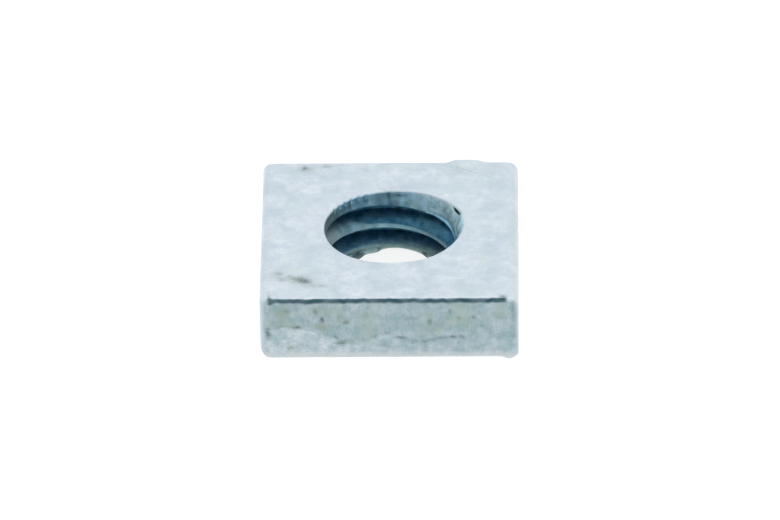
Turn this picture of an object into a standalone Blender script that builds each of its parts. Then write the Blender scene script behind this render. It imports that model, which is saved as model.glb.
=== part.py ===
"""Thin square nut, M6, cropped from flat bar, then punched and tapped.

Metres, +Z up. The nut lies on its bearing face, and the origin is the middle of that face. The bar ran
along Y: the two sides across X are its rolled edges, and the two ends across Y are shear cuts.
"""

import math

import bpy
import numpy as np

MM = 0.001

# The bar and the length that was cropped from it
bar_width = 10.0 * MM
cropped_length = 10.0 * MM
thickness = 2.65 * MM

# Rounding of the bar's four long edges, which run along Y
upper_left_radius = 0.28 * MM
upper_right_radius = 0.40 * MM
lower_left_radius = 0.38 * MM
lower_right_radius = 0.15 * MM
edge_steps = 6

# The shear rolls the upper and side edges of each end over, and leaves the lower edge almost sharp
upper_roll = 0.20 * MM
lower_roll = 0.06 * MM
roll_steps = 5
smallest_corner = 0.04 * MM

# It cuts the upper part of each end clean, and the lower part breaks away and leans outwards
break_height = 0.95 * MM
break_lean = 0.05 * MM

# Right-hand metric thread, 60 degrees, its groove flat at the root
major_diameter = 6.0 * MM
pitch = 1.0 * MM
flank_angle = math.radians(30)
sharp_height = pitch / 2 / math.tan(flank_angle)
root_flat = pitch / 8
groove_depth_at_back = 1.0 * MM

# The hole, punched a little behind the middle of the cropped length, with its mouths flared
core_allowance = 0.02 * MM
minor_diameter = major_diameter - 1.25 * sharp_height + core_allowance
hole_set_back = 0.23 * MM
upper_flare = 0.12 * MM
upper_flare_depth = 0.24 * MM
lower_flare = 0.11 * MM
lower_flare_depth = 0.14 * MM

# The topmost groove grows shallow from the front right of the hole on, and has run out on its right
run_out_start = math.radians(-60)
run_out_sweep = math.radians(70)

# Facets round the hole, and how far the cutters reach past what they cut
facets_per_turn = 72
overrun = 0.6 * MM
groove_overlap = 0.12 * MM


def clear_scene():
    for item in list(bpy.data.objects):
        bpy.data.objects.remove(item, do_unlink=True)


def zinc_plate():
    """Bright zinc over steel, pale and a little blue."""
    material = bpy.data.materials.new("zinc_plate")
    material.use_nodes = True
    surface = material.node_tree.nodes["Principled BSDF"]
    surface.inputs["Base Color"].default_value = (0.62, 0.69, 0.73, 1.0)
    surface.inputs["Metallic"].default_value = 0.85
    surface.inputs["Roughness"].default_value = 0.42
    material.diffuse_color = (0.62, 0.69, 0.73, 1.0)
    return material


def object_from(name, points, faces):
    mesh = bpy.data.meshes.new(name)
    mesh.from_pydata(np.asarray(points).tolist(), [], faces)
    mesh.validate()
    item = bpy.data.objects.new(name, mesh)
    bpy.context.scene.collection.objects.link(item)
    return item


def ring_faces(ring_count, ring_size):
    """Quads between neighbouring rings."""
    faces = []
    for low in range(0, (ring_count - 1) * ring_size, ring_size):
        high = low + ring_size
        for place in range(ring_size):
            after = (place + 1) % ring_size
            faces.append((low + place, high + place, high + after, low + after))
    return faces


def loft_faces(ring_count, ring_size):
    """Quads between neighbouring rings, and one face over each end."""
    last = (ring_count - 1) * ring_size
    near_end = tuple(range(ring_size))
    far_end = tuple(last + place for place in reversed(range(ring_size)))
    return ring_faces(ring_count, ring_size) + [near_end, far_end]


def corner_arc(x, z, radius, first_angle):
    """A quarter circle, clockwise from first_angle in degrees, inside the corner at (x, z)."""
    radius = max(radius, smallest_corner)
    middle = math.radians(first_angle - 45)
    centre_x = x - math.copysign(radius, math.cos(middle))
    centre_z = z - math.copysign(radius, math.sin(middle))
    arc = []
    for step in range(edge_steps + 1):
        angle = math.radians(first_angle - 90 * step / edge_steps)
        arc.append((centre_x + radius * math.cos(angle), centre_z + radius * math.sin(angle)))
    return arc


def bar_section(upper_inset, lower_inset):
    """The bar's outline as (x, z), clockwise seen from the front and drawn in at its edges.

    It starts at break_height on the left side and has a point at that height on the right side too.
    """
    half = bar_width / 2 - upper_inset
    top = thickness - upper_inset
    return (
        [(-half, break_height)]
        + corner_arc(-half, top, upper_left_radius - upper_inset, 180)
        + corner_arc(half, top, upper_right_radius - upper_inset, 90)
        + [(half, break_height)]
        + corner_arc(half, lower_inset, lower_right_radius - upper_inset, 0)
        + corner_arc(-half, lower_inset, lower_left_radius - upper_inset, -90)
    )


def end_stations():
    """(distance from the end, upper inset, lower inset) along the quarter arc that an end is rolled over."""
    stations = []
    for step in range(roll_steps + 1):
        angle = math.radians(90 * step / roll_steps)
        inwards = 1 - math.sin(angle)
        stations.append((upper_roll * (1 - math.cos(angle)), upper_roll * inwards, lower_roll * inwards))
    return stations


def sheared_end(direction):
    """Rings from the end face inwards, at the front for direction -1 and at the back for 1."""
    rings = []
    for along, upper_inset, lower_inset in end_stations():
        ring = []
        for x, z in bar_section(upper_inset, lower_inset):
            risen = (z - lower_roll) / (break_height - lower_roll)
            short_of_lip = break_lean * min(max(risen, 0), 1)
            ring.append((x, direction * (cropped_length / 2 - short_of_lip - along), z))
        rings.append(ring)
    return rings


def cropped_bar():
    """The bar lofted along Y. Each end is two faces, which meet in a line at break_height."""
    rings = sheared_end(-1) + sheared_end(1)[::-1]
    ring_size = len(rings[0])
    right_side = 2 * (edge_steps + 1) + 1
    upper = list(range(right_side + 1))
    lower = [0] + list(range(right_side, ring_size))
    last = (len(rings) - 1) * ring_size
    faces = ring_faces(len(rings), ring_size)
    faces += [tuple(upper), tuple(lower)]
    faces += [tuple(last + place for place in reversed(end)) for end in (upper, lower)]
    return object_from("square_nut", [point for ring in rings for point in ring], faces)


def punch():
    """The plain hole with its two flared mouths, as a turned cutter."""
    minor = minor_diameter / 2
    lower_reach = lower_flare * (1 + overrun / lower_flare_depth)
    upper_reach = upper_flare * (1 + overrun / upper_flare_depth)
    profile = (
        (minor + lower_reach, -overrun),
        (minor, lower_flare_depth),
        (minor, thickness - upper_flare_depth),
        (minor + upper_reach, thickness + overrun),
    )
    turn = np.arange(facets_per_turn) * 2 * math.pi / facets_per_turn
    points = []
    for radius, z in profile:
        points += list(zip(radius * np.cos(turn), hole_set_back + radius * np.sin(turn), np.full_like(turn, z)))
    faces = [tuple(reversed(face)) for face in loft_faces(len(profile), facets_per_turn)]
    return object_from("punch", points, faces)


def groove_section():
    """(radius, height from the groove's middle) round the thread's groove, carried inwards past its crest."""
    major = major_diameter / 2
    inner = minor_diameter / 2 - groove_overlap
    half_inner = root_flat / 2 + (major - inner) * math.tan(flank_angle)
    return np.array(
        (
            (inner, -half_inner),
            (major, -root_flat / 2),
            (major, root_flat / 2),
            (inner, half_inner),
        )
    )


def tap():
    """The groove as a helix that rises anticlockwise, from under the nut to where it runs out."""
    back = math.pi / 2
    height_at_back = thickness - groove_depth_at_back
    start = back - 2 * math.pi * (height_at_back + overrun + pitch / 2) / pitch
    end = 2 * math.pi + run_out_start + run_out_sweep
    count = math.ceil((end - start) / (2 * math.pi) * facets_per_turn)
    angles = np.linspace(start, end, count + 1)
    run_out = np.clip((angles - 2 * math.pi - run_out_start) / run_out_sweep, 0, 1)
    sunk = run_out**2 * (major_diameter - minor_diameter + 2 * groove_overlap) / 2
    points = []
    for radius, rise in groove_section():
        reach = radius - sunk
        height = height_at_back + pitch * (angles - back) / (2 * math.pi) + rise
        points.append(np.stack((reach * np.cos(angles), hole_set_back + reach * np.sin(angles), height), axis=1))
    points = np.stack(points, axis=1).reshape(-1, 3)
    return object_from("tap", points, loft_faces(len(angles), len(groove_section())))


def cut(body, cutter):
    cutter.hide_render = True
    cutter.display_type = "WIRE"
    boolean = body.modifiers.new("cut_by_" + cutter.name, "BOOLEAN")
    boolean.operation = "DIFFERENCE"
    boolean.solver = "EXACT"
    boolean.object = cutter


def square_nut():
    nut = cropped_bar()
    nut.data.materials.append(zinc_plate())
    nut.data.shade_smooth()
    nut.data.set_sharp_from_angle(angle=math.radians(32))
    cut(nut, punch())
    cut(nut, tap())


clear_scene()
square_nut()
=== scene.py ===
import math

import bpy
import numpy as np
from mathutils import Matrix, Vector


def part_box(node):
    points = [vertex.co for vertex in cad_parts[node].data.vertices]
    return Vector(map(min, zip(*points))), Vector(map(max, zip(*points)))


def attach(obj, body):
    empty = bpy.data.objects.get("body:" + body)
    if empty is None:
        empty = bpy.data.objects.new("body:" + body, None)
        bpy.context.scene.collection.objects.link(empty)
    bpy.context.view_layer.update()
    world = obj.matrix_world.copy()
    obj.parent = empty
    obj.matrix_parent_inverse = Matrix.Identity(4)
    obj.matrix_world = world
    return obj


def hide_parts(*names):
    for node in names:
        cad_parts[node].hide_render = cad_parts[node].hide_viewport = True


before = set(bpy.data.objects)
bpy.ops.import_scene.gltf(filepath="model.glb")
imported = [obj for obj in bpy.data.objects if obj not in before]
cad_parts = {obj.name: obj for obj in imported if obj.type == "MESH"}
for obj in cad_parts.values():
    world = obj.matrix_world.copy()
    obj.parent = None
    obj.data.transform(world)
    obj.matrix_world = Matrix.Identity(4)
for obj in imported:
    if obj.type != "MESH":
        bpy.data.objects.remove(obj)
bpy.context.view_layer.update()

# The blank: a length cropped from rolled mild steel flat bar. The rolling mill rounded the four long edges,
# which run along Y, and the shear rolled the upper edge of both ends over before it cut.
MM = 0.001
lowest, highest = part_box("square_nut")
left, front, underside = lowest
right, back, top = highest

# Rounding of the upper edges, and of the lower ones: left, right, front, back
upper_edges = np.array((0.28, 0.38, 0.20, 0.14)) * MM
lower_edges = np.array((0.38, 0.15, 0.08, 0.08)) * MM
# Upright corners, seen from above: front left, front right, back left, back right
upright_corners = np.array((0.36, 0.18, 0.28, 0.30)) * MM
# The top face's corners are rounder, and so are the upper corners of the front face
face_corners = np.array((0.50, 0.50, 0.30, 0.34)) * MM
rolled_corner = 0.27 * MM
hole_y = 0.23 * MM
# A rounding that ends upright stops this far through its curve, so that its last step isn't a cliff
rounding_end = 0.98

# Fineness of the mesh: columns along each side and round each corner, rows down the outside
front_columns = 236
right_columns = 150
back_columns = 76
left_columns = 70
corner_columns = 11
roll_rows = 8
wall_rows = 42
lower_roll_rows = 5


def smooth(value, start, end):
    """From 0 at start to 1 at end, level at both: 3 times the square of the share less 2 times its cube.

    It falls where start is the larger.
    """
    share = np.clip((value - start) / (end - start), 0, 1)
    return share * share * (3 - 2 * share)


def corner_sizes(angle, corners):
    """The one of four corner radii that lies on this angle's quarter."""
    on_left = np.cos(angle) < 0
    at_front = np.sin(angle) < 0
    return np.where(
        at_front,
        np.where(on_left, corners[0], corners[1]),
        np.where(on_left, corners[2], corners[3]),
    )


def reach(angle, inset, corners):
    """Distance from the hole's axis to the blank's outline along each angle, and the outline's normal there.

    The outline is a rectangle whose sides are drawn in by inset (left, right, front, back). A ray ends at the
    nearer side line, and where that point lies in a corner's square, on the corner's arc instead.
    """
    cos, sin = np.cos(angle), np.sin(angle)
    radius = corner_sizes(angle, corners)
    side_x = np.where(cos < 0, left + inset[0], right - inset[1])
    side_y = np.where(sin < 0, front + inset[2], back - inset[3]) - hole_y
    distance = np.minimum(side_x / cos, side_y / sin)
    centre_x = side_x - np.sign(cos) * radius
    centre_y = side_y - np.sign(sin) * radius
    in_corner = (np.abs(distance * cos) > np.abs(centre_x)) & (np.abs(distance * sin) > np.abs(centre_y))
    along = centre_x * cos + centre_y * sin
    aside = centre_x**2 + centre_y**2 - along**2
    on_arc = along + np.sqrt(np.maximum(radius**2 - aside, 0))
    distance = np.where(in_corner, on_arc, distance)
    normal_x = np.where(in_corner, (distance * cos - centre_x) / radius, 0.0)
    normal_y = np.where(in_corner, (distance * sin - centre_y) / radius, 0.0)
    on_side = np.abs(side_x / cos) < np.abs(side_y / sin)
    normal_x = np.where(in_corner, normal_x, np.where(on_side, np.sign(cos), 0.0))
    normal_y = np.where(in_corner, normal_y, np.where(on_side, 0.0, np.sign(sin)))
    return distance, normal_x, normal_y


def column_angles():
    """The angle of each column of the mesh, anticlockwise from the front's left end.

    Columns are spread evenly along each straight side and round each upright corner's arc.
    """
    corners = (
        (right, front, upright_corners[1], -90, front_columns),
        (right, back, upright_corners[3], 0, right_columns),
        (left, back, upright_corners[2], 90, back_columns),
        (left, front, upright_corners[0], 180, left_columns),
    )
    x, y = [], []
    last = (left + upright_corners[0], front)
    for corner_x, corner_y, radius, first, count in corners:
        centre = (corner_x - math.copysign(radius, corner_x), corner_y - math.copysign(radius, corner_y))
        turn = np.radians(first + 90 * np.arange(corner_columns) / corner_columns)
        arc_x = centre[0] + radius * np.cos(turn)
        arc_y = centre[1] + radius * np.sin(turn)
        x += [np.linspace(last[0], arc_x[0], count, endpoint=False), arc_x]
        y += [np.linspace(last[1], arc_y[0], count, endpoint=False), arc_y]
        end = math.radians(first + 90)
        last = (centre[0] + radius * math.cos(end), centre[1] + radius * math.sin(end))
    return np.unwrap(np.arctan2(np.concatenate(y) - hole_y, np.concatenate(x)))


def lumps(across, along, seed):
    """Smooth random heights from -1 to 1 over a plane, a new one at every whole step across and along.

    Round a point, the four nearest values are mixed by how far it lies between them, eased at both ends.
    """
    size = 64
    values = np.random.default_rng(seed).uniform(-1, 1, (size, size))
    column, row = np.floor(across).astype(int), np.floor(along).astype(int)
    beyond, after = smooth(across - column, 0, 1), smooth(along - row, 0, 1)
    column, row = column % size, row % size
    next_column, next_row = (column + 1) % size, (row + 1) % size
    near = values[column, row] * (1 - beyond) + values[next_column, row] * beyond
    far = values[column, next_row] * (1 - beyond) + values[next_column, next_row] * beyond
    return near * (1 - after) + far * after


angle = column_angles()
cos, sin = np.cos(angle), np.sin(angle)
distance, normal_x, normal_y = reach(angle, np.zeros(4), upright_corners)
outline_x = distance * cos
# How much each column belongs to the left, right, front and back side: the squares of its normal
belongs = np.stack(
    (
        np.where(normal_x < 0, normal_x**2, 0),
        np.where(normal_x > 0, normal_x**2, 0),
        np.where(normal_y < 0, normal_y**2, 0),
        np.where(normal_y > 0, normal_y**2, 0),
    )
)

# The two sheared ends. The blade slid down the upper part and left it smooth and finely streaked. The lower
# part then broke away: it is rough, stands a little proud, and meets the smooth part in a wandering crack.
break_height = 0.95 * MM
break_lean = 0.05 * MM
# The crack along the front end, in millimetres: x and height
crack_line = np.array(
    (
        (-4.79, 1.27), (-4.10, 1.44), (-3.64, 1.39), (-2.09, 0.95), (-1.90, 0.71), (-0.55, 0.95),
        (-0.28, 1.18), (0.26, 0.91), (0.73, 0.86), (1.19, 0.70), (1.65, 0.81), (2.39, 0.90), (2.74, 0.95),
        (2.89, 0.90),
    )
)
# How open it is there, from 0 to 1: x in millimetres, and gape
crack_open = np.array(
    (
        (-4.9, 0.35), (-4.4, 0.20), (-3.9, 0.10), (-3.6, 0.50), (-3.2, 0.10), (-2.2, 0.10), (-1.9, 0.70),
        (-1.5, 0.05), (-0.8, 0.10), (-0.4, 0.50), (0.35, 0.80), (0.8, 0.25), (1.2, 0.60), (1.6, 0.45),
        (2.6, 0.65), (3.1, 0.15), (4.9, 0.10),
    )
)
crack_width = 0.024 * MM
crack_depth = 0.022 * MM
crack_raggedness = 0.035 * MM
# The back end's crack wanders in long and in short waves
back_wander = 0.14 * MM
back_ripple = 0.05 * MM
# Below the crack: how far it stands proud, over what height that comes and goes, and its roughness
proud = 0.016 * MM
proud_rise = 0.05 * MM
proud_fall = 0.5 * MM
roughness = 0.011 * MM
coarse_lump = (0.21 * MM, 0.17 * MM)
fine_lump = (0.09 * MM, 0.08 * MM)
# Above it: the blade's streaks
streak_height = 0.004 * MM
streak_size = (0.10 * MM, 1.6 * MM)
# Pits in the front end, in millimetres: x, z, half width, half height and depth
front_pits = np.array(
    (
        (-4.70, 1.06, 0.10, 0.16, 0.03),
        (-3.21, 1.41, 0.07, 0.05, 0.03),
        (-2.85, 2.08, 0.06, 0.08, 0.03),
        (-2.59, 1.70, 0.06, 0.11, 0.05),
        (-1.69, 1.58, 0.09, 0.05, 0.03),
        (-1.88, 0.67, 0.13, 0.04, 0.04),
        (1.57, 1.61, 0.08, 0.08, 0.04),
        (2.36, 2.08, 0.05, 0.07, 0.03),
        (2.69, 1.79, 0.05, 0.05, 0.03),
        (3.25, 1.82, 0.05, 0.05, 0.02),
        (2.45, 0.61, 0.15, 0.11, 0.04),
    )
)
# The blade left a small burr under the front right corner, and raised a lip along the back edge
burr_x = 4.62 * MM
burr_width = 0.13 * MM
burr_height = 0.30 * MM
burr_full = 0.05 * MM
burr_reach = 0.16 * MM
lip_starts = (2.12 * MM, 2.62 * MM)
lip_ends = (3.20 * MM, 3.95 * MM)
lip_heights = (top - 0.6 * MM, top - 0.1 * MM)
lip_reach = 0.13 * MM
lip_rise = 0.05 * MM


def ripple(along, length, seed):
    """Smooth random heights from -1 to 1 along a line, a new one at every length."""
    return lumps(along / length, 0 * along, seed)


def lean(height):
    """How far an end stands back from its lip: nothing at the bottom, and all of it above break_height."""
    return break_lean * np.clip((height - lower_edges[2]) / (break_height - lower_edges[2]), 0, 1)


def crack_height(x, at_front):
    """Height of the crack along an end. The front one follows its line, and the back one wanders."""
    followed = np.interp(x / MM, *crack_line.T) * MM + crack_raggedness * ripple(x, 0.16 * MM, seed=23)
    wandered = back_wander * ripple(x, 0.9 * MM, seed=21) + back_ripple * ripple(x, 0.23 * MM, seed=22)
    return np.where(at_front, followed, break_height + wandered)


def crack_gape(x, at_front):
    """How open the crack is along an end, from 0 to 1. It opens and closes in short dashes."""
    dashes = smooth(ripple(x, 0.13 * MM, seed=25), -0.5, 0.5)
    at_back = 0.5 + 0.4 * ripple(x, 0.6 * MM, seed=24)
    return dashes * np.where(at_front, np.interp(x / MM, *crack_open.T), at_back)


def end_relief(x, z, at_front):
    """How far an end stands out: streaks above the crack, the crack itself, and proud lumps below it.

    The crack is a bell across its line, and each pit of the front end is a bell over the plane.
    """
    crack = crack_height(x, at_front)
    broken = smooth(crack - z, 0, proud_rise)
    coarse = lumps(x / coarse_lump[0], z / coarse_lump[1], seed=31 + at_front)
    fine = lumps(x / fine_lump[0], z / fine_lump[1], seed=33 + at_front)
    streaks = lumps(x / streak_size[0], z / streak_size[1], seed=35 + at_front)
    standing = proud * (1 - 0.7 * smooth(crack - z, 0, proud_fall))
    relief = broken * (standing + roughness * (0.6 * coarse + 0.4 * fine))
    relief += (1 - broken) * streak_height * (streaks + 0.5 * coarse)
    relief -= crack_depth * crack_gape(x, at_front) * np.exp(-(((z - crack) / crack_width) ** 2) / 2)
    for pit_x, pit_z, half_width, half_height, depth in front_pits * MM:
        near = ((x - pit_x) / half_width) ** 2 + ((z - pit_z) / half_height) ** 2
        relief -= np.where(at_front, depth * np.exp(-near), 0)
    return relief


def outer_rows():
    """(x, y, z) rows from the top face's border down the outside to the underside's border.

    Each edge is a quarter ellipse from flat to upright. Its drop is the edge's rounding, and near the upper
    corners of the front end the drop grows along a quarter circle, as the shear pulls the corner down. On the
    ends, the wall's row nearest to the crack lies on it.
    """
    upper_drop = upper_edges @ belongs
    face_end = right - upper_edges[2] - rolled_corner
    past = np.clip((np.abs(outline_x) - face_end) / rolled_corner, 0, 1)
    upper_drop += belongs[2] * rolled_corner * (1 - np.sqrt(1 - rounding_end * past**2))
    lower_drop = lower_edges @ belongs
    distances, heights = [], []
    for slope in np.linspace(math.pi / 2, 0, roll_rows + 1):
        inwards = 1 - math.cos(slope)
        corners = upright_corners + (face_corners - upright_corners) * inwards
        distances.append(reach(angle, upper_edges * inwards, corners)[0])
        heights.append(top - upper_drop * (1 - math.sin(slope)))
    crack = crack_height(outline_x, belongs[2] > 0.5)
    for share in np.linspace(0, 1, wall_rows + 1)[1:-1]:
        height = (top - upper_drop) * (1 - share) + lower_drop * share
        on_crack = (np.abs(height - crack) < (top / wall_rows) / 2) & (belongs[2] + belongs[3] > 0.5)
        distances.append(distance)
        heights.append(np.where(on_crack, crack, height))
    for slope in np.linspace(0, math.pi / 2, lower_roll_rows + 1):
        distances.append(reach(angle, lower_edges * (1 - math.cos(slope)), upright_corners)[0])
        heights.append(lower_drop * (1 - math.sin(slope)))
    distances, heights = np.array(distances), np.array(heights)
    y = hole_y + distances * sin - normal_y * (belongs[2] + belongs[3]) * lean(heights)
    return np.stack((distances * cos, y, heights), axis=2)


def sheared(points):
    """The points with the ends' relief, the burr and the lip. Each works by where a point lies.

    The burr is a bell along the lower edge, and the lip a plateau along the upper one.
    """
    x, y, z = points[..., 0], points[..., 1], points[..., 2]
    at_front = y < 0
    on_end = smooth(np.abs(y), 4.6 * MM, 4.85 * MM)
    on_wall = on_end * smooth(top - z, 0.12 * MM, 0.32 * MM) * smooth(z, 0.01 * MM, 0.10 * MM)
    relief = np.where(at_front, end_relief(x, z, True), end_relief(x, z, False))
    burr = burr_reach * np.exp(-(((x - burr_x) / burr_width) ** 2) / 2) * smooth(z, burr_height, burr_full)
    lip = smooth(x, *lip_starts) * smooth(x, *lip_ends[::-1]) * smooth(z, *lip_heights)
    raised = np.where(at_front, burr * smooth(-y, 4.7 * MM, 4.95 * MM), lip_reach * lip * on_end)
    outwards = on_wall * relief + raised
    rise = np.where(at_front, 0, lip_rise * lip * smooth(y, 4.3 * MM, 4.9 * MM))
    return np.stack((x, y + np.where(at_front, -outwards, outwards), z + rise), axis=2)


# The hole: punched a little behind the middle, then tapped M6 x 1. The punch drew its mouth in, the tap
# rubbed the wall down on the right, and the topmost groove runs out there.
major_diameter = 6.0 * MM
minor_diameter = 4.9376 * MM
pitch = 1.0 * MM
flank = math.radians(30)
root_flat = pitch / 8
groove_at_back = top - 1.0 * MM
# Where the hole meets the top face: angle in degrees and radius in millimetres
mouth_line = (
    (0, 2.90), (15, 2.97), (28, 2.98), (40, 2.88), (55, 2.76), (70, 2.65), (95, 2.54), (140, 2.53),
    (180, 2.54), (200, 2.57), (215, 2.61), (230, 2.60), (245, 2.58), (270, 2.52), (285, 2.55), (300, 2.66),
    (315, 2.69), (330, 2.72), (345, 2.80),
)
mouth_depth = 0.75 * MM
mouth_curve = 2.4
rim_rounding = 0.03 * MM
# The land under the mouth, which the tap has rubbed down on the right
land_line = (
    (0, 2.54), (20, 2.66), (35, 2.78), (50, 2.83), (60, 2.78), (71, 2.63), (90, 2.52), (120, 2.48),
    (150, 2.47), (330, 2.47),
)
land_depth = 0.80 * MM
land_end = 1.02 * MM
blend_angle = 7.0
# The lower mouth, which the punch has torn
lower_line = (
    (42, 2.40), (53, 2.32), (60, 2.44), (72, 2.53), (82, 2.59), (91, 2.57), (98, 2.50), (103, 2.33),
    (107, 2.30), (115, 2.34), (122, 2.19), (132, 2.12), (150, 2.30), (180, 2.51), (300, 2.51),
)
lower_blend_angle = 1.8
lower_mouth_height = 0.13 * MM
run_out_start = 2 * math.pi + math.radians(-60)
run_out_sweep = math.radians(70)
run_out_sink = 0.65 * MM
# The punch tore small notches in the rim at the back left: angles in degrees
notch_first = 112
notch_step = 7.4
notch_count = 6
notch_depth = 0.045 * MM
notch_full = 0.05 * MM
notch_end = 0.30 * MM
# The burr of the torn lower mouth closes the lowest groove between these angles, up to this height
burr_angles = (84, 104, 150, 178)
burr_top = 0.20 * MM
bore_rows = 72


def around(degrees, line, bell_width):
    """Values given at a few angles, joined by straight lines round the circle and averaged over a bell."""
    step = 0.5
    turn = np.arange(0, 360, step)
    joined = np.interp(turn, *np.transpose(line), period=360)
    weights = np.exp(-((np.minimum(turn, 360 - turn) / bell_width) ** 2) / 2)
    averaged = np.fft.irfft(np.fft.rfft(joined) * np.fft.rfft(weights / weights.sum()), len(turn))
    return np.interp(degrees, turn, averaged, period=360)


def groove_middle(angle):
    """Height of the middle of the thread's groove: it climbs a pitch a turn, anticlockwise."""
    return groove_at_back + pitch * (angle - math.pi / 2) / (2 * math.pi)


def run_out_groove(angle, height):
    """Radius of the thread's groove at an angle and a height.

    The groove is flat at its root and 60 degrees wide. At the run-out it sinks inwards with the square of the
    angle, and behind the torn lower mouth the burr closes it.
    """
    middle = groove_middle(angle)
    turns = np.round((height - middle) / pitch)
    off_middle = height - middle - turns * pitch
    turned = angle + turns * 2 * math.pi
    sunk = run_out_sink * np.maximum((turned - run_out_start) / run_out_sweep, 0) ** 2
    degrees = np.degrees(angle) % 360
    closed = smooth(degrees, *burr_angles[:2]) * smooth(degrees, *burr_angles[:1:-1])
    sunk = sunk + run_out_sink * closed * smooth(height, burr_top, burr_top / 4)
    return major_diameter / 2 - sunk - np.maximum(np.abs(off_middle) - root_flat / 2, 0) / math.tan(flank)


def plain_radius(angle, height):
    """Radius of the punched hole, with its mouths, its worn land on the right and the notches in its rim.

    The mouth opens with a power of the height above mouth_depth, and its rim is a quarter circle.
    """
    depth = top - height
    degrees = np.degrees(angle)
    minor = minor_diameter / 2
    mouth = around(degrees, mouth_line, blend_angle) * MM
    land = around(degrees, land_line, blend_angle) * MM
    lower = around(degrees, lower_line, lower_blend_angle) * MM
    plain = minor + (land - minor) * smooth(depth, land_end, land_depth)
    plain = plain + (mouth - land) * np.maximum(1 - depth / mouth_depth, 0) ** mouth_curve
    into_rim = np.clip(1 - depth / rim_rounding, 0, 1)
    plain = plain + rim_rounding * (1 - np.sqrt(1 - rounding_end * into_rim**2))
    turned = (degrees % 360 - notch_first) / notch_step
    notch = smooth(np.cos(turned * 2 * math.pi), 0.2, 1) * (turned > -0.5) * (turned < notch_count - 0.5)
    plain = plain + notch_depth * notch * smooth(depth, notch_end, notch_full)
    return plain + (lower - minor) * smooth(height, lower_mouth_height, 0)


def bore_heights():
    """Heights of the bore's rows, from the bottom up, in each column.

    They are evenly spaced, but the row nearest to an edge of the thread is moved onto it, so that the helix
    runs along the mesh's own edges.
    """
    spacing = (top - underside) / (bore_rows - 1)
    height = np.linspace(underside, top, bore_rows)[:, None] + 0 * angle
    crest_edge = root_flat / 2 + (major_diameter - minor_diameter) / 2 * math.tan(flank)
    for edge in (-crest_edge, -root_flat / 2, root_flat / 2, crest_edge):
        off = (height - groove_middle(angle) - edge + pitch / 2) % pitch - pitch / 2
        near = np.abs(off) < spacing / 2
        near[:2] = near[-3:] = False
        height = np.where(near, height - off, height)
    return height


# The whole nut: one closed grid of points, whose columns each lie in an upright plane through the hole's
# axis. Its rows run up the bore, outwards over the top face, down the outside and back in underneath.
face_rows = 30
first_face_row = 0.006
under_rows = 10
# A gash beside the mouth, from one point to the other, and how wide and deep it is
gash_from = np.array((2.49, 1.74)) * MM
gash_to = np.array((2.74, 1.22)) * MM
gash_width = 0.045 * MM
gash_reach = 0.45 * MM
gash_depth = 0.05 * MM
# A faint scratch across the back right corner of the top face
scratch_from = (2.2 * MM, 4.75 * MM)
scratch_to = (4.2 * MM, 3.60 * MM)
scratch_width = 0.035 * MM
# The top face isn't quite flat: the height of its waves, and their sizes
undulation = 0.004 * MM
long_wave = (1.3 * MM, 1.1 * MM)
short_wave = (0.4 * MM, 0.35 * MM)


def gash(x, y):
    """1 in the middle of the gash, falling off as a bell with the distance from it."""
    along = gash_to - gash_from
    share = ((x - gash_from[0]) * along[0] + (y - gash_from[1]) * along[1]) / (along @ along)
    share = np.clip(share, 0, 1)
    off = np.hypot(x - gash_from[0] - share * along[0], y - gash_from[1] - share * along[1])
    return np.exp(-((off / gash_width) ** 2) / 2)


def flattened(points):
    """The points with the top face's slight undulation and the gash at its mouth."""
    x, y, z = points[..., 0], points[..., 1], points[..., 2]
    on_top = smooth(z, top - 0.30 * MM, top - 0.05 * MM)
    gashed = smooth(z, top - gash_reach, top - gash_reach / 2) * gash(x, y)
    wave = lumps(x / long_wave[0], y / long_wave[1], seed=41)
    wave = wave + 0.4 * lumps(x / short_wave[0], y / short_wave[1], seed=42)
    return np.stack((x, y, z + on_top * undulation * wave - gash_depth * gashed), axis=2)


bore_height = bore_heights()
groove_radius = run_out_groove(angle, bore_height)
wall_radius = plain_radius(angle, bore_height)
bore_radius = np.maximum(wall_radius, groove_radius)
bore = np.stack((bore_radius * cos, hole_y + bore_radius * sin, bore_height), axis=2)
outside = outer_rows()
even = np.linspace(0, 1, face_rows + 1)[1:-1]
spread = (0.4 * even + 0.6 * smooth(even, 0, 1))[:, None, None]
spread[0] = first_face_row
face = bore[-1] * (1 - spread) + outside[0] * spread
back_in = np.linspace(0, 1, under_rows + 1)[1:-1][:, None, None]
under = outside[-1] * (1 - back_in) + bore[0] * back_in
points = flattened(sheared(np.concatenate((bore, face, outside, under))))
rows, columns = points.shape[:2]


def grid_triangles():
    """Two triangles for each cell of the closed grid, split along the diagonal that climbs with the thread.

    A point's number is its row times the number of columns, plus its column, and both go round.
    """
    row, column = np.meshgrid(np.arange(rows), np.arange(columns), indexing="ij")
    next_row, next_column = (row + 1) % rows, (column + 1) % columns
    here = row * columns + column
    above = next_row * columns + column
    beside = row * columns + next_column
    across = next_row * columns + next_column
    first = np.stack((here, above, across), axis=2)
    second = np.stack((here, across, beside), axis=2)
    return np.concatenate((first.reshape(-1, 3), second.reshape(-1, 3)))


def mesh_object(name, points, triangles, sharp_edge):
    """An object at the origin, shaded smooth up to an angle, from arrays of points and of triangles."""
    mesh = bpy.data.meshes.new(name)
    mesh.from_pydata(points.reshape(-1, 3).tolist(), [], triangles.tolist())
    mesh.shade_smooth()
    mesh.set_sharp_from_angle(angle=sharp_edge)
    piece = bpy.data.objects.new(name, mesh)
    bpy.context.scene.collection.objects.link(piece)
    return piece


nut = mesh_object("plated_square_nut", points, grid_triangles(), sharp_edge=math.radians(38))
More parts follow.
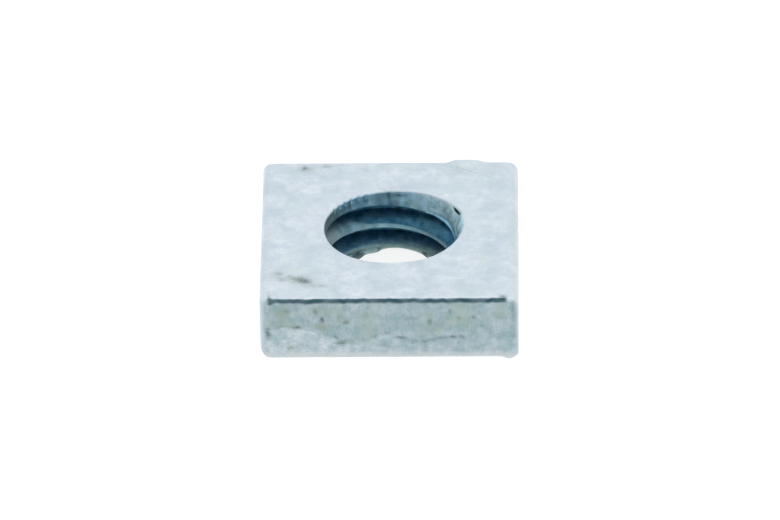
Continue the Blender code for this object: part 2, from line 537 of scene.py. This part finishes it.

# The plating: bright zinc, a few thousandths of a millimetre thick, barrel plated, so it is pale, a little
# blue and finely mottled. It is duller and greener on the sheared ends, and darker down in the thread, partly
# thin plating and partly painted shade.

# The darker and the lighter tone of each mottled part
pale_tones = ((0.595, 0.685, 0.76, 1), (0.76, 0.815, 0.875, 1))
dull_tones = ((0.275, 0.405, 0.445, 1), (0.515, 0.60, 0.64, 1))
torn_tones = ((0.42, 0.54, 0.58, 1), (0.64, 0.715, 0.755, 1))
# The wall's and the groove's tones are partly painted shade
wall_tones = ((0.13, 0.30, 0.41, 1), (0.24, 0.445, 0.56, 1))
worn_tones = ((0.17, 0.40, 0.56, 1), (0.58, 0.84, 0.98, 1))
groove_tones = ((0.010, 0.088, 0.155, 1), (0.072, 0.195, 0.30, 1))
# What lies over them, in patches, flecks and lines
pale_mottle = (0.47, 0.575, 0.655, 1)
pale_green = (0.62, 0.735, 0.745, 1)
pale_violet = (0.68, 0.725, 0.81, 1)
pale_speckle = (0.47, 0.58, 0.64, 1)
scratch_colour = (0.40, 0.53, 0.56, 1)
dull_green = (0.365, 0.465, 0.40, 1)
torn_violet = (0.56, 0.61, 0.69, 1)
torn_speckle = (0.29, 0.40, 0.42, 1)
# Painted light from the white floor along the lower border of the front end
floor_light_colour = (0.66, 0.70, 0.71, 1)
# Painted dark reflection along the front edge
dark_reflection_colour = (0.026, 0.082, 0.108, 1)
worn_mottle = (0.34, 0.50, 0.50, 1)
worn_speck = (0.24, 0.37, 0.33, 1)
groove_green = (0.04, 0.11, 0.11, 1)
olive_tarnish = (0.30, 0.36, 0.24, 1)
# The outer stain colour also paints the darkest parts of that dark reflection
outer_stain_and_reflection = (0.055, 0.11, 0.12, 1)
bore_stain = (0.015, 0.04, 0.035, 1)
# Painted shade in the crack
crack_shade_colour = (0.10, 0.17, 0.18, 1)
# Painted shadow in the gash beside the mouth
gash_shadow_colour = (0.008, 0.028, 0.034, 1)

# Dark and olive stains of the top face, drawn by the material: how far down they reach, then for each its x,
# y, half widths in millimetres, and strength
stain_depth = 0.25 * MM
top_stains = np.array(
    (
        (-3.50, -3.50, 0.32, 0.20, 0.55),
        (-3.20, -3.66, 0.24, 0.14, 0.60),
        (-3.85, -3.30, 0.16, 0.14, 0.30),
        (-4.30, -3.05, 0.14, 0.14, 0.30),
        (-4.15, -3.50, 0.16, 0.16, 0.30),
        (-2.70, -3.95, 0.40, 0.10, 0.20),
        (-3.38, 4.50, 0.12, 0.16, 0.60),
        (-2.50, 4.62, 0.22, 0.16, 0.35),
        (-0.10, 2.90, 0.35, 0.16, 0.20),
    )
)
top_tarnish = np.array(
    (
        (-3.45, -3.55, 0.45, 0.34, 0.45),
        (-4.30, -3.20, 0.25, 0.35, 0.25),
        (-2.85, -3.95, 0.55, 0.18, 0.20),
        (2.75, -3.95, 0.45, 0.25, 0.15),
        (-3.30, 4.45, 0.45, 0.30, 0.30),
        (2.90, 4.20, 0.90, 0.40, 0.15),
    )
)
# The dark line along the front edge is a painted dark reflection in the rolled edge. It starts and ends at
# ragged depths below the top face, its tail at the left reaches further down, and both its ends reach up onto
# the face.
line_start = 0.024 * MM
line_end = 0.115 * MM
start_raggedness = 0.012 * MM
end_raggedness = 0.030 * MM
line_fade = 0.10 * MM
tail_x = -4.62 * MM
tail_half_width = 0.09 * MM
tail_reach = 0.10 * MM
line_ends = np.array(((-4.66, -4.72, 0.06, 0.12, 1.0), (4.42, -4.77, 0.13, 0.10, 1.0)))
# Dark smears in the bore: degrees, height in millimetres, half widths, strength
bore_stains = np.array(
    (
        (84, 1.60, 3.0, 0.12, 1.0),
        (83, 0.66, 3.5, 0.12, 1.0),
        (92, 2.50, 1.5, 0.12, 0.6),
        (81, 2.46, 6.0, 0.06, 0.7),
        (54, 2.10, 4.0, 0.06, 0.4),
        (33, 2.18, 3.0, 0.10, 0.5),
        (10, 2.18, 3.0, 0.10, 0.5),
        (122, 0.12, 3.5, 0.05, 0.9),
        (22, 2.50, 5.0, 0.12, 0.5),
        (117, 0.75, 5.0, 0.20, 0.3),
        (103, 1.95, 4.0, 0.30, 0.3),
        (64, 0.60, 4.0, 0.20, 0.4),
        (97, 1.40, 3.0, 0.15, 0.3),
    )
)
# Dark and olive stains of the front end: x, z and half widths in millimetres, strength
end_stains = np.array(
    (
        (-4.70, 1.08, 0.12, 0.22, 0.75),
        (-2.85, 2.10, 0.08, 0.12, 0.55),
        (-2.59, 1.70, 0.08, 0.14, 0.85),
        (-1.69, 1.58, 0.13, 0.07, 0.55),
        (-1.88, 0.67, 0.16, 0.05, 0.85),
        (-3.81, 0.46, 0.14, 0.08, 0.28),
        (1.57, 1.61, 0.10, 0.12, 0.60),
        (2.36, 2.08, 0.06, 0.10, 0.60),
        (2.69, 1.79, 0.06, 0.06, 0.50),
        (3.25, 1.82, 0.08, 0.07, 0.45),
        (0.45, 0.90, 0.22, 0.05, 0.50),
        (-3.95, 2.08, 0.12, 0.10, 0.30),
        (-3.12, 1.64, 0.06, 0.10, 0.35),
        (-3.53, 1.40, 0.10, 0.05, 0.75),
        (-4.43, 1.30, 0.13, 0.05, 0.35),
        (-4.17, 1.45, 0.16, 0.04, 0.30),
        (-2.07, 0.93, 0.05, 0.07, 0.40),
        (-0.25, 1.10, 0.12, 0.08, 0.40),
        (-0.50, 0.97, 0.08, 0.05, 0.35),
        (-0.20, 0.55, 0.10, 0.10, 0.30),
        (0.90, 0.67, 0.06, 0.06, 0.40),
        (0.80, 1.76, 0.25, 0.07, 0.25),
        (2.10, 0.89, 0.20, 0.05, 0.45),
        (2.45, 0.92, 0.15, 0.06, 0.50),
        (2.75, 0.93, 0.08, 0.08, 0.45),
        (2.67, 0.71, 0.05, 0.12, 0.40),
        (3.55, 1.41, 0.12, 0.05, 0.30),
        (4.25, 1.04, 0.14, 0.06, 0.30),
        # The last two are painted shade down the rounded upright corners of the front end
        (4.77, 2.16, 0.07, 0.35, 0.30),
        (-4.79, 2.25, 0.06, 0.30, 0.20),
    )
)
end_tarnish = np.array(
    (
        (-4.10, 2.06, 0.30, 0.25, 0.60),
        (-3.57, 1.39, 0.20, 0.07, 0.95),
        (-2.65, 1.41, 0.25, 0.18, 0.70),
        (-2.70, 2.16, 0.55, 0.25, 0.40),
        (-1.85, 1.71, 0.35, 0.20, 0.45),
        (-3.81, 0.48, 0.22, 0.10, 0.40),
        (-1.85, 0.67, 0.20, 0.07, 0.55),
        (1.90, 1.35, 0.22, 0.22, 0.45),
        (-0.75, 1.85, 0.40, 0.20, 0.25),
        (2.45, 1.76, 0.30, 0.20, 0.25),
        (4.25, 1.91, 0.35, 0.25, 0.25),
    )
)
# Painted light and shade on the land: degrees and half width, depths in millimetres where each is nil and
# full, and how much painted light it adds
painted_land_light = (
    (14, 11, 0.25, 0.55, 0.45),
    (22, 8, 0.30, 0.10, -0.35),
    (36, 14, 0.05, 0.25, 0.50),
    (20, 10, 0.60, 0.75, 0.50),
    (140, 22, 0.40, 0.05, 0.20),
)
# The land ends at this depth, where the topmost groove begins
band_depth = 0.90 * MM
# The back of the bore, in degrees, which faces the light
lit_side = 92


def spotted(across, along, marks):
    """The sum of the marks, each a bell over a plane, and at most 1."""
    total = 0 * across + 0 * along
    for middle, height, half_width, half_height, strength in marks:
        near = ((across - middle) / half_width) ** 2 + ((along - height) / half_height) ** 2
        total += strength * np.exp(-near)
    return np.minimum(total, 1)


def bell(offset, half_width):
    """1 where the offset is 0, falling on both sides: e to the minus square of offset by half width."""
    return np.exp(-((offset / half_width) ** 2))


def painted_dark_reflection(x, y, z):
    """The painted dark reflection along the front edge: a plateau between its ragged borders, with its two
    ends added.
    """
    drop = top - z
    ragged = 0.5 * ripple(x, 0.16 * MM, seed=53) + 0.5 * ripple(x, 0.45 * MM, seed=54)
    starts = line_start + start_raggedness * ragged
    ends = line_end + end_raggedness * ragged + tail_reach * bell(x - tail_x, tail_half_width)
    line = smooth(-y, 4.75 * MM, 4.80 * MM) * smooth(drop, starts / 2, starts * 1.5)
    line = line * smooth(drop, ends + line_fade, ends)
    line = line + 0.7 * smooth(drop, 0.25 * MM, 0.05 * MM) * spotted(x / MM, y / MM, line_ends)
    line = line * smooth(x, left + 0.20 * MM, left + 0.42 * MM)
    line = line * smooth(x, right - 0.36 * MM, right - 0.54 * MM)
    return line * (0.92 + 0.08 * ripple(x, 0.30 * MM, seed=55))


def end_marks():
    """What the plating needs to know of the outside, from 0 to 1, by name.

    sheared is an end's own dull tone and broken the torn part below the crack. Three marks are painted light
    and
    shade: the shade in the crack itself, the dark reflection along the front edge, and the floor's light
    along the lower border of the front end. The stains take in the darkest parts of that painted reflection.
    """
    x, y, z = points[..., 0], points[..., 1], points[..., 2]
    at_front = y < 0
    on_wall = smooth(np.abs(y), 4.72 * MM, 4.86 * MM) * smooth(top - z, 0.05 * MM, 0.20 * MM)
    on_wall = on_wall * smooth(z, 0.05 * MM, 0.17 * MM) * (belongs[2] + belongs[3])
    crack = crack_height(x, at_front)
    in_crack = crack_gape(x, at_front) * np.exp(-(((z - crack) / (0.035 * MM)) ** 2) / 2)
    tone_border = (0.22 + 0.16 * ripple(x, 0.5 * MM, seed=26)) * MM
    torn_side = 1 - 0.6 * smooth(x, -2.0 * MM, 0.5 * MM)
    low_border = smooth(-y, 4.85 * MM, 4.95 * MM) * smooth(z, 0.32 * MM, 0.20 * MM) * smooth(z, 0, 0.06 * MM)
    line = painted_dark_reflection(x, y, z)
    # The darkest parts of the painted dark reflection, added to the stains
    darkest_reflection = line * smooth(ripple(x, 0.42 * MM, seed=56), 0.0, 0.9)
    return {
        "sheared": on_wall,
        "broken": on_wall * smooth(crack - z, 0, tone_border) * torn_side,
        "crack_shade": 0.75 * on_wall * in_crack,
        "painted_reflection_line": line,
        "painted_floor_light": low_border * (0.8 + 0.2 * ripple(x, 0.2 * MM, seed=27)),
        "stains_and_painted_reflection": at_front * on_wall * spotted(x / MM, z / MM, end_stains) + 0.6 * darkest_reflection,
        "tarnished": at_front * on_wall * spotted(x / MM, z / MM, end_tarnish),
    }


def bore_light(to_right, z, on_left, on_right):
    """Painted light and shade for each place in the bore: lighter at the back and on the left, darker on the
    right and near the bottom, lighter at the torn lower mouth. The land has painted light and shade of its
    own and a painted highlight along its foot on the right.
    """
    drop = top - z
    light = 0.27 + 0.40 * bell(to_right - lit_side, 20) + 0.45 * on_left - 0.15 * smooth(cos, 0.3, 0.8)
    land = 0.5 + 0.3 * on_left + 0.40 * smooth(drop, 0.30 * MM, 0)
    land = land - 0.25 * smooth(drop, 0.35 * MM, 0.70 * MM) * (1 - on_right)
    for middle, half_width, none, full, tone in painted_land_light:
        offset = (to_right - middle + 180) % 360 - 180
        land = land + tone * bell(offset, half_width) * smooth(drop, none * MM, full * MM)
    light = np.where(drop < band_depth, land, light)
    light = light - 0.15 * smooth(z, 0.35 * MM, 0.20 * MM)
    torn_mouth = smooth(to_right, 118, 128) * smooth(to_right, 160, 145)
    light = light + 0.35 * torn_mouth * smooth(z, 0.40 * MM, 0.25 * MM)
    # A painted highlight along the land's foot on the right
    edge = smooth(groove_radius - wall_radius, -0.22 * MM, -0.04 * MM)
    edge = edge * smooth(to_right, -20, 0) * smooth(to_right, 50, 34)
    return light + 0.5 * edge * (drop < 1.05 * MM)


def groove_share(to_right, z, on_right):
    """How much each place in the bore has the groove's dark tone, partly thin plating and partly painted
    shade, by how far the groove cuts past the wall.

    It sets in sharply at the groove's upper edge. At its lower edge it fades over the crest, further up on
    the left. The ledge under the land and the torn lower mouth have some of it too, as painted shade.
    """
    cut = groove_radius - wall_radius
    below_middle = (bore_height - groove_middle(angle) + pitch / 2) % pitch < pitch / 2
    wider = smooth(-cos, 0.25, 0.75) * smooth(bore_height, 1.15 * MM, 1.35 * MM)
    thinner = smooth(cos, 0.0, 0.5)
    fade_start = (-0.21 + 0.38 * wider - 0.05 * thinner) * MM
    fade_end = (-0.06 + 0.56 * wider - 0.08 * thinner) * MM
    sharp_start = -0.08 * MM * (1 - on_right) * (bore_height > top - band_depth)
    sharp = smooth(cut, sharp_start, sharp_start + 0.02 * MM)
    share = np.where(below_middle, smooth(cut, fade_start, fade_end), sharp)
    ledge = smooth(z, top - land_end, top - 0.95 * MM)
    ledge = ledge * smooth(z, top - land_depth + 0.02 * MM, top - 0.86 * MM)
    share = np.maximum(share, 0.4 * on_right * ledge * smooth(to_right, 22, 45))
    low = smooth(z, 0.04 * MM, 0.10 * MM) * smooth(z, 0.34 * MM, 0.22 * MM)
    return np.maximum(share, low * (0.60 - 0.45 * smooth(to_right % 360, 118, 130)))


def bore_marks():
    """What the plating needs to know of the bore, from 0 to 1, by name.

    bored is the bore's own tone, which the rim lacks and the left wall partly lacks as painted light, the
    chatter mark the painted light and shade of each place with the tap's chatter over it, rubbed the bright
    worn land on the right, and deep the groove's dark tone, partly painted shade.
    """
    degrees = np.degrees(angle) % 360
    to_right = (degrees + 180) % 360 - 180
    z = points[:bore_rows, :, 2]
    on_right = smooth(np.cos(np.radians(degrees - 15)), 0.25, 0.9)
    on_left = smooth(-cos, 0.68, 0.97)
    rubbed = on_right * smooth(z, top - 0.92 * MM, top - 0.62 * MM)
    # The groove's dark tone, partly painted shade
    deep = groove_share(to_right, z, on_right)
    rim_depth = (0.10 + 0.30 * bell(degrees - 200, 22) + 0.12 * bell(to_right - 42, 20)) * MM
    in_rim = smooth(top - z, rim_depth, 0)
    at_lower_mouth = smooth(z, 0.09 * MM, 0.02 * MM)
    chatter = lumps(degrees / 5.0 + 0 * z, z / (1.2 * MM), seed=51)
    chatter = chatter + 0.6 * lumps(degrees / 1.7 + 0 * z, z / (0.5 * MM), seed=52)
    chatter = chatter * (0.3 - 0.22 * rubbed) * smooth(z, top - 1.8 * MM, top - 1.2 * MM)
    on_crest = (1 - deep) * smooth(z, 0.9 * MM, 1.0 * MM) * smooth(z, 1.6 * MM, 1.5 * MM)
    olive = 0.50 * on_left + 0.50 * smooth(z, 0.50 * MM, 0.10 * MM)
    return {
        # On the left wall part of the pale outer tone shows through, as painted light
        "bored": (1 - 0.35 * on_left) * (1 - 0.4 * at_lower_mouth) * (1 - 0.75 * in_rim),
        "painted_light_and_chatter": bore_light(to_right, z, on_left, on_right) + chatter,
        "rubbed": rubbed,
        "deep": deep,
        "stains_and_painted_reflection": spotted(degrees, z / MM, bore_stains),
        # On the crest the olive tint is placed by the painted light, strongest on the lit side
        "tarnished": olive + 0.28 * on_crest * bell(degrees - lit_side, 40),
    }


marks = end_marks()
for mark, values in bore_marks().items():
    all_over = marks.setdefault(mark, np.zeros((rows, columns)))
    all_over[:bore_rows] += values
for mark, values in marks.items():
    layer = nut.data.attributes.new(mark, "FLOAT", "POINT")
    layer.data.foreach_set("value", np.clip(values, 0, 1).astype(np.float32).ravel())


def node_input(tree, socket, value):
    """Links a socket to another, or sets its value."""
    if isinstance(value, bpy.types.NodeSocket):
        tree.links.new(value, socket)
    else:
        socket.default_value = value


def blended(tree, share, first, second, blend_type="MIX"):
    """The colour of a Mix node. Each of share, first and second is a socket or a value."""
    node = tree.nodes.new("ShaderNodeMix")
    node.data_type = "RGBA"
    node.blend_type = blend_type
    node_input(tree, node.inputs[0], share)
    node_input(tree, node.inputs[6], first)
    node_input(tree, node.inputs[7], second)
    return node.outputs[2]


def worked(tree, operation, first, second, third=0.0):
    """The value of a Math node. Each input is a socket or a value."""
    node = tree.nodes.new("ShaderNodeMath")
    node.operation = operation
    for socket, value in zip(node.inputs, (first, second, third)):
        node_input(tree, socket, value)
    return node.outputs[0]


def worked_colour(tree, colour, share):
    """A colour times a plain number."""
    return blended(tree, 1.0, colour, (share, share, share, 1), "MULTIPLY")


def mottle_group():
    """A group that gives a mottle from 0 to 1: noise in lumps of a size in millimetres, cut at two levels."""
    group = bpy.data.node_groups.new("mottle", "ShaderNodeTree")
    group.interface.new_socket("Vector", in_out="INPUT", socket_type="NodeSocketVector")
    for name, value in (("Lump Size", 0.5), ("Detail", 3.0), ("From", 0.3), ("To", 0.7)):
        group.interface.new_socket(name, in_out="INPUT", socket_type="NodeSocketFloat").default_value = value
    group.interface.new_socket("Mottle", in_out="OUTPUT", socket_type="NodeSocketFloat")
    given = group.nodes.new("NodeGroupInput")
    result = group.nodes.new("NodeGroupOutput")
    noise = group.nodes.new("ShaderNodeTexNoise")
    level = group.nodes.new("ShaderNodeMapRange")
    group.links.new(given.outputs["Vector"], noise.inputs["Vector"])
    group.links.new(worked(group, "DIVIDE", 1 / MM, given.outputs["Lump Size"]), noise.inputs["Scale"])
    group.links.new(given.outputs["Detail"], noise.inputs["Detail"])
    group.links.new(noise.outputs["Fac"], level.inputs["Value"])
    group.links.new(given.outputs["From"], level.inputs["From Min"])
    group.links.new(given.outputs["To"], level.inputs["From Max"])
    group.links.new(level.outputs["Result"], result.inputs["Mottle"])
    return group


def zinc_plate():
    """The plating's material: mottled zinc, mixed with the other tones by the marks on the surface."""
    zinc = bpy.data.materials.new("zinc_plate")
    zinc.use_nodes = True
    tree = zinc.node_tree
    shader = tree.nodes["Principled BSDF"]
    place = tree.nodes.new("ShaderNodeTexCoord").outputs["Object"]
    group = mottle_group()

    def mottle(lump_size, detail, low, high, shift=0.0, upright=1.0):
        """A mottle of the nut's own, shifted so that it matches no other, and drawn out upright."""
        node = tree.nodes.new("ShaderNodeGroup")
        node.node_tree = group
        moved = tree.nodes.new("ShaderNodeMapping")
        moved.inputs["Location"].default_value = (shift, shift, shift)
        moved.inputs["Scale"].default_value = (1, 1, 1 / upright)
        tree.links.new(place, moved.inputs["Vector"])
        tree.links.new(moved.outputs["Vector"], node.inputs["Vector"])
        for name, value in (("Lump Size", lump_size), ("Detail", detail), ("From", low), ("To", high)):
            node.inputs[name].default_value = value
        return node.outputs["Mottle"]

    def slit(start, finish, half_width):
        """1 inside a slender ellipse on the top face, and 0 a little outside it.

        It is laid along two points and reaches past both by a quarter of half their distance.
        """
        middle = (np.array(start) + finish) / 2
        course = math.atan2(finish[1] - start[1], finish[0] - start[0])
        half_length = math.dist(start, finish) * 0.62
        turned = tree.nodes.new("ShaderNodeMapping")
        turned.vector_type = "TEXTURE"
        turned.inputs["Location"].default_value = (*middle, top)
        turned.inputs["Rotation"].default_value = (0, 0, course)
        turned.inputs["Scale"].default_value = (half_length, half_width, gash_reach)
        away = tree.nodes.new("ShaderNodeVectorMath")
        away.operation = "LENGTH"
        tree.links.new(place, turned.inputs["Vector"])
        tree.links.new(turned.outputs["Vector"], away.inputs[0])
        inside = worked(tree, "MULTIPLY_ADD", away.outputs["Value"], -2.2, 2.4)
        return worked(tree, "MINIMUM", worked(tree, "MAXIMUM", inside, 0.0), 1.0)

    def top_spots(spots):
        """The sum of soft ellipses on the top face. Each falls off as a bell from its middle."""
        total = 0.0
        for x, y, half_width, half_depth, strength in spots:
            moved = tree.nodes.new("ShaderNodeMapping")
            moved.vector_type = "TEXTURE"
            moved.inputs["Location"].default_value = (x * MM, y * MM, top)
            moved.inputs["Scale"].default_value = (half_width * MM, half_depth * MM, stain_depth)
            away = tree.nodes.new("ShaderNodeVectorMath")
            away.operation = "DOT_PRODUCT"
            tree.links.new(place, moved.inputs["Vector"])
            tree.links.new(moved.outputs["Vector"], away.inputs[0])
            tree.links.new(moved.outputs["Vector"], away.inputs[1])
            falloff = worked(tree, "POWER", math.exp(-1), away.outputs["Value"])
            total = worked(tree, "MULTIPLY_ADD", falloff, strength, total)
        return total

    def mark(name):
        """One of the marks that the mesh carries."""
        node = tree.nodes.new("ShaderNodeAttribute")
        node.attribute_name = name
        return node.outputs["Fac"]

    def flecked(surface, mask, amount, colour):
        """The surface with a colour over it where the mask is, by at most the amount."""
        return blended(tree, worked(tree, "MULTIPLY", mask, amount), surface, colour)

    gashed = slit(gash_from, gash_to, gash_width)
    scratched = slit(scratch_from, scratch_to, scratch_width)
    coarse = mottle(0.9, 3, 0.35, 0.65)
    medium = mottle(0.32, 4, 0.35, 0.68, shift=0.031)
    fine = mottle(0.11, 3, 0.30, 0.70, shift=0.057)
    speckles = mottle(0.075, 2, 0.45, 0.75, shift=0.093)
    grain = mottle(0.035, 2, 0.25, 0.75, shift=0.011)
    streaks = mottle(0.06, 3, 0.32, 0.68, shift=0.043, upright=7)
    specks = mottle(0.26, 1, 0.46, 0.70, shift=0.071)
    green_patches = mottle(1.2, 2, 0.50, 0.70, shift=0.083)
    violet_patches = mottle(1.0, 2, 0.52, 0.72, shift=0.129)

    uneven = worked(tree, "MULTIPLY_ADD", streaks, 0.25, worked(tree, "MULTIPLY", medium, 0.6))
    uneven = worked(tree, "MULTIPLY_ADD", fine, 0.35, worked(tree, "SUBTRACT", uneven, 0.1))

    # The pale top and sides, with the faint scratch
    pale = blended(tree, coarse, *pale_tones)
    pale = flecked(pale, medium, 0.42, pale_mottle)
    pale = flecked(pale, green_patches, 0.5, pale_green)
    pale = flecked(pale, violet_patches, 0.5, pale_violet)
    pale = flecked(pale, speckles, 0.42, pale_speckle)
    pale = flecked(pale, scratched, worked(tree, "MULTIPLY_ADD", fine, 0.6, 0.1), scratch_colour)

    # The ends: dull where the blade slid, paler where the steel broke, with painted light from the floor
    # along the front end's lower border and the painted dark reflection along the front edge
    dull = blended(tree, uneven, *dull_tones)
    dull = flecked(dull, green_patches, 0.55, dull_green)
    torn = blended(tree, medium, *torn_tones)
    torn = flecked(torn, violet_patches, 0.35, torn_violet)
    torn = flecked(torn, speckles, 0.50, torn_speckle)
    outer = blended(tree, mark("sheared"), pale, blended(tree, mark("broken"), dull, torn))
    outer = flecked(outer, mark("painted_floor_light"), 0.7, floor_light_colour)
    outer = blended(tree, mark("painted_reflection_line"), outer, dark_reflection_colour)

    # The bore: its wall, as a shaded and a lit copy of its tone mixed by the painted light, the land that the
    # tap has rubbed bright, whose tone follows the painted light too, and the groove, whose dark tone is
    # partly painted shade
    wall = blended(tree, medium, *wall_tones)
    wall = blended(tree, mark("painted_light_and_chatter"), worked_colour(tree, wall, 0.5), worked_colour(tree, wall, 1.55))
    worn_share = worked(tree, "ADD", uneven, worked(tree, "MULTIPLY_ADD", mark("painted_light_and_chatter"), 0.9, -0.45))
    worn = blended(tree, worn_share, *worn_tones)
    worn = flecked(worn, fine, 0.35, worn_mottle)
    worn = flecked(worn, specks, 0.75, worn_speck)
    wall = blended(tree, mark("rubbed"), wall, worn)
    groove = blended(tree, medium, *groove_tones)
    groove = flecked(groove, green_patches, 0.3, groove_green)
    surface = blended(tree, mark("bored"), outer, blended(tree, mark("deep"), wall, groove))

    # Olive tarnish and dark stains lie over all of it, the stains with the darkest parts of the painted dark
    # reflection; then painted shade in the crack and a painted shadow in the gash
    tarnished = worked(tree, "ADD", mark("tarnished"), top_spots(top_tarnish))
    olive_share = worked(tree, "MULTIPLY", tarnished, worked(tree, "MULTIPLY_ADD", fine, 0.6, 0.5))
    surface = blended(tree, olive_share, surface, olive_tarnish)
    stains_and_painted_reflection = worked(tree, "ADD", mark("stains_and_painted_reflection"), top_spots(top_stains))
    dark_share = worked(tree, "MULTIPLY", stains_and_painted_reflection, worked(tree, "MULTIPLY_ADD", fine, 0.7, 0.5))
    stain_and_reflection = blended(tree, mark("bored"), outer_stain_and_reflection, bore_stain)
    surface = blended(tree, dark_share, surface, stain_and_reflection)
    surface = blended(tree, mark("crack_shade"), surface, crack_shade_colour)
    surface = blended(tree, gashed, surface, gash_shadow_colour)
    tree.links.new(surface, shader.inputs["Base Color"])

    # Satin, duller on the ends, and less like metal where it is rubbed
    gloss = worked(tree, "MULTIPLY_ADD", fine, 0.12, 0.33)
    gloss = worked(tree, "MULTIPLY_ADD", mark("sheared"), 0.12, gloss)
    tree.links.new(gloss, shader.inputs["Roughness"])
    metal = worked(tree, "MULTIPLY_ADD", mark("rubbed"), -0.6, 0.9)
    tree.links.new(worked(tree, "MAXIMUM", metal, gashed), shader.inputs["Metallic"])

    # The zinc's own grain, which the ends show most
    height = worked(tree, "MULTIPLY_ADD", grain, 0.35, fine)
    height = worked(tree, "MULTIPLY", height, worked(tree, "MULTIPLY_ADD", mark("sheared"), 2.0, 0.6))
    dimples = tree.nodes.new("ShaderNodeBump")
    dimples.inputs["Strength"].default_value = 1.0
    dimples.inputs["Distance"].default_value = 0.003 * MM
    tree.links.new(height, dimples.inputs["Height"])
    tree.links.new(dimples.outputs["Normal"], shader.inputs["Normal"])
    return zinc


nut.data.materials.append(zinc_plate())
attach(nut, "root")
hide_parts("square_nut")

# The floor: white studio paper, laid flat under the nut. It shows white to the camera and in the metal, and
# takes the nut's soft shadow.
floor_size = 2.0
paper_grey = 0.35
paper_glow = 0.75
paper = bpy.data.materials.new("white_paper")
paper.use_nodes = True
tree = paper.node_tree
tree.nodes.clear()
output = tree.nodes.new("ShaderNodeOutputMaterial")
matte = tree.nodes.new("ShaderNodeBsdfDiffuse")
matte.inputs["Color"].default_value = (paper_grey, paper_grey, paper_grey, 1)
glow = tree.nodes.new("ShaderNodeEmission")
both = tree.nodes.new("ShaderNodeAddShader")
path = tree.nodes.new("ShaderNodeLightPath")
seen = worked(tree, "MAXIMUM", path.outputs["Is Camera Ray"], path.outputs["Is Glossy Ray"])
seen = worked(tree, "MAXIMUM", seen, path.outputs["Is Transmission Ray"])
tree.links.new(worked(tree, "MULTIPLY", seen, paper_glow), glow.inputs["Strength"])
tree.links.new(matte.outputs[0], both.inputs[0])
tree.links.new(glow.outputs[0], both.inputs[1])
tree.links.new(both.outputs[0], output.inputs["Surface"])
floor_mesh = bpy.data.meshes.new("floor")
floor_corners = np.array(((-1, -1, 0), (1, -1, 0), (1, 1, 0), (-1, 1, 0))) * floor_size
floor_mesh.from_pydata(floor_corners.tolist(), [], [(0, 1, 2, 3)])
floor = bpy.data.objects.new("floor", floor_mesh)
bpy.context.scene.collection.objects.link(floor)
floor_mesh.materials.append(paper)

# The light: a white tent round the nut, lit evenly from outside and a little brighter overhead, so that the
# plating mirrors nothing but white.
tent_level = 1.0
zenith_level = 1.12
zenith_starts = 0.5
zenith_full = 0.95
world = bpy.data.worlds.new("studio")
bpy.context.scene.world = world
world.use_nodes = True
tree = world.node_tree
background = tree.nodes["Background"]
background.inputs["Color"].default_value = (1, 1, 1, 1)
where = tree.nodes.new("ShaderNodeTexCoord")
split = tree.nodes.new("ShaderNodeSeparateXYZ")
tree.links.new(where.outputs["Generated"], split.inputs[0])
tent = tree.nodes.new("ShaderNodeMapRange")
tent.interpolation_type = "SMOOTHSTEP"
tent.inputs["From Min"].default_value = zenith_starts
tent.inputs["From Max"].default_value = zenith_full
tent.inputs["To Min"].default_value = tent_level
tent.inputs["To Max"].default_value = zenith_level
tree.links.new(split.outputs["Z"], tent.inputs["Value"])
tree.links.new(tent.outputs[0], background.inputs["Strength"])

# The camera: on a stand in front of the nut, looking down at it by a little over a third of a right angle.
# Its place, roll and focal length were fitted to the nut's corners.
image_width = 780
image_height = 520
camera_elevation = math.radians(33.0)
camera_azimuth = math.radians(0.85)
camera_roll = math.radians(0.80)
camera_distance = 467 * MM
pixels_per_metre = 25.64 / MM
target = Vector((0, 0, 1.35 * MM))
target_pixel = (390.16, 257.98)
sensor_width = 36

forward = Vector(
    (
        -math.sin(camera_azimuth) * math.cos(camera_elevation),
        math.cos(camera_azimuth) * math.cos(camera_elevation),
        -math.sin(camera_elevation),
    )
)
level_right = Vector((math.cos(camera_azimuth), math.sin(camera_azimuth), 0))
level_up = level_right.cross(forward)
camera_right = level_right * math.cos(camera_roll) - level_up * math.sin(camera_roll)
camera_up = level_right * math.sin(camera_roll) + level_up * math.cos(camera_roll)
aside = (image_width / 2 - target_pixel[0]) / pixels_per_metre
raised = (target_pixel[1] - image_height / 2) / pixels_per_metre
place = target + camera_right * aside + camera_up * raised - forward * camera_distance

lens = bpy.data.cameras.new("camera")
lens.sensor_width = sensor_width
lens.lens = sensor_width * pixels_per_metre * camera_distance / image_width
camera = bpy.data.objects.new("camera", lens)
bpy.context.scene.collection.objects.link(camera)
turn = Matrix((camera_right, camera_up, -forward)).transposed().to_4x4()
camera.matrix_world = Matrix.Translation(place) @ turn
bpy.context.scene.camera = camera
bpy.context.scene.view_settings.view_transform = "Standard"
